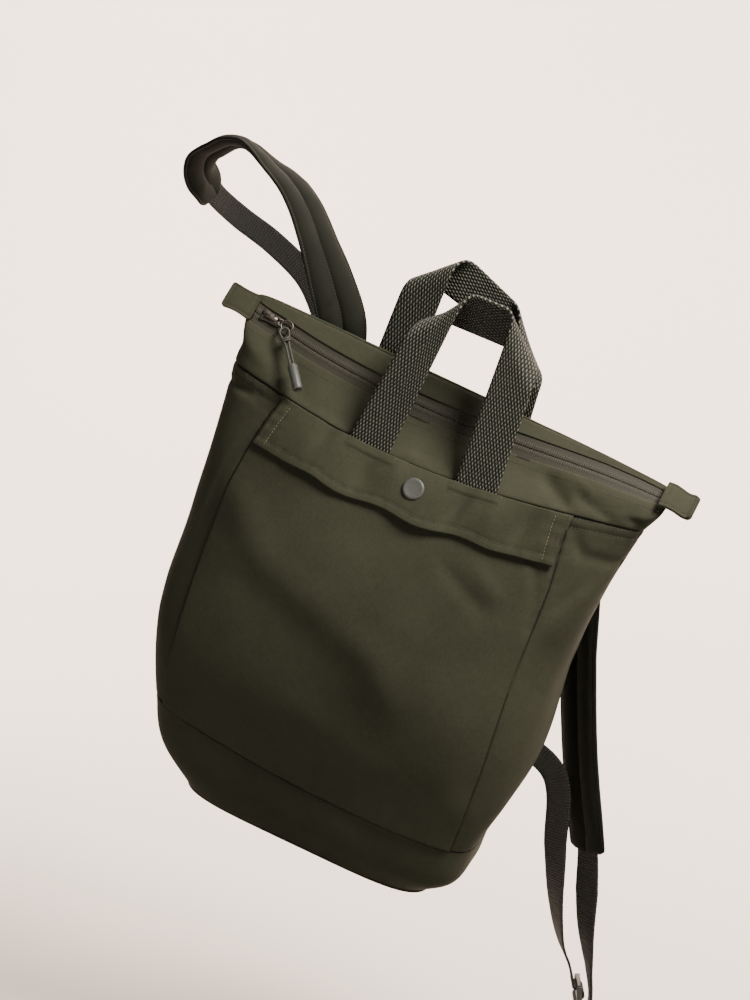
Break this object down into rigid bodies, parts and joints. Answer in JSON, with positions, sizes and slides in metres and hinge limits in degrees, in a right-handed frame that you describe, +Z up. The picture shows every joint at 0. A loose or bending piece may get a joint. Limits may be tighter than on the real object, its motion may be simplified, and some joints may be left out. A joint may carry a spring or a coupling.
{
  "type": "waterproof tote backpack",
  "caption": "Dark olive waterproof tote backpack with a zipped top, snapped front pocket flap, webbing carry handles and padded shoulder straps, hanging from its left strap.",
  "frame": {"origin": "place under the left shoulder strap that bears on the shoulder", "axes": "+Z up, the bag's front towards -Y, +X to the right seen from the front; the bag hangs rolled to one side about Y"},
  "size_m": [0.4368, 0.2708, 0.6982],
  "materials": {
    "coated_cloth": "matte coated weave",
    "zip_tape": "coated satin",
    "zip_metal": "dull metal",
    "woven_webbing": "basket weave",
    "pull_cord": "braided",
    "grey_plastic": "matte",
    "black_plastic": "matte"
  },
  "bodies": {
    "root": {"base_panel": "coated_cloth", "base_band": "coated_cloth", "front_panel": "coated_cloth", "pocket_panel": "coated_cloth", "side_panel_left": "coated_cloth", "side_panel_right": "coated_cloth", "back_panel": "coated_cloth", "yoke_front": "coated_cloth", "yoke_back": "coated_cloth", "mouth_facing": "coated_cloth", "zip_tab_left": "coated_cloth", "zip_tab_right": "coated_cloth", "flap": "coated_cloth", "strap_pad_left": "coated_cloth", "strap_pad_right": "coated_cloth", "zip_tape_front": "zip_tape", "zip_tape_back": "zip_tape", "zip_slider": "zip_metal", "slider_ring": "zip_metal", "handle_front": "woven_webbing", "handle_back": "woven_webbing", "strap_web_left_upper": "woven_webbing", "strap_web_left_lower": "woven_webbing", "strap_web_right_upper": "woven_webbing", "strap_web_right_lower": "woven_webbing", "puller_cord": "pull_cord", "puller_end": "grey_plastic", "snap_cap": "grey_plastic", "adjuster_left": "black_plastic", "adjuster_right": "black_plastic"}
  },
  "joints": []
}
